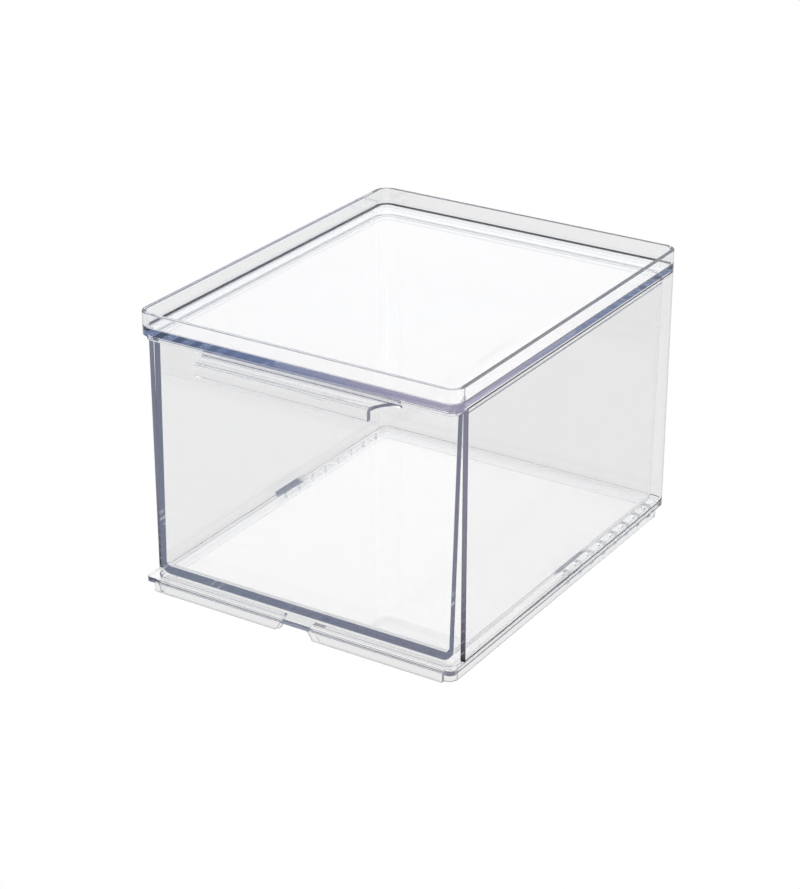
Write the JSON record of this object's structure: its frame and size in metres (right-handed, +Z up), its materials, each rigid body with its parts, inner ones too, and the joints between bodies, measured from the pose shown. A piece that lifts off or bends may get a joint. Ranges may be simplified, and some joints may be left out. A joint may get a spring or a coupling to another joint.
{
  "type": "stackable drawer box",
  "caption": "Clear moulded stackable drawer box with a rimmed lid, a wall sleeve, a footed base and one pull-out drawer.",
  "frame": {"origin": "on the table, under the middle of the closed box's whole footprint, handle included", "axes": "+X to the right as seen from the front, -Y towards the front with the handle, +Z up"},
  "size_m": [0.16, 0.203, 0.1347],
  "materials": {
    "clear_plastic": "clear and glossy, with a faint blue-violet cast in the thick edges"
  },
  "bodies": {
    "housing": {"top_lid": "clear_plastic", "wall_sleeve": "clear_plastic", "base_plate": "clear_plastic"},
    "drawer": {"drawer_tray": "clear_plastic"}
  },
  "joints": [
    {"name": "drawer_slide", "type": "slide", "parent": "housing", "child": "drawer", "axis": [0, -1, 0], "range_m": [0, 0.165]}
  ]
}
